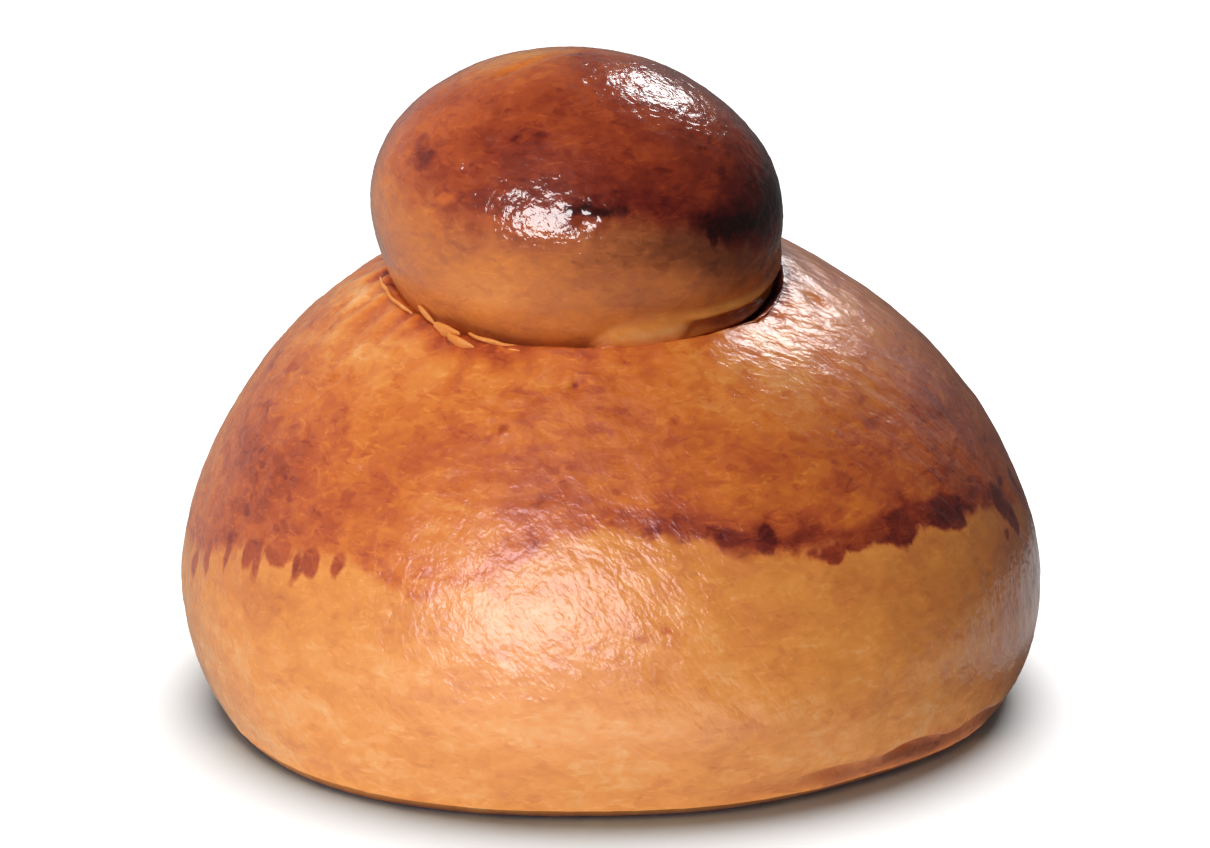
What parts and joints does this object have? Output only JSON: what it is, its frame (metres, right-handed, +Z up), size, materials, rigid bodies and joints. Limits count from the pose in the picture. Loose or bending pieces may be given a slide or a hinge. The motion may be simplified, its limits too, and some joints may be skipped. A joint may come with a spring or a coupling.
{
  "type": "brioche with a topknot",
  "caption": "Round glazed brioche bun with a flat foot and a small dark ball of the same dough baked into a well in its top, set off centre.",
  "frame": {"origin": "on the surface that the bun stands on, under the middle of its box", "axes": "+Z up; -Y is the front, the side that the topknot sits towards; +X is to the right seen from the front"},
  "size_m": [0.1, 0.1, 0.0766],
  "materials": {
    "golden_crust": "satin",
    "mahogany_crust": "gloss"
  },
  "bodies": {
    "root": {"bun": "golden_crust", "topknot": "mahogany_crust"}
  },
  "joints": []
}
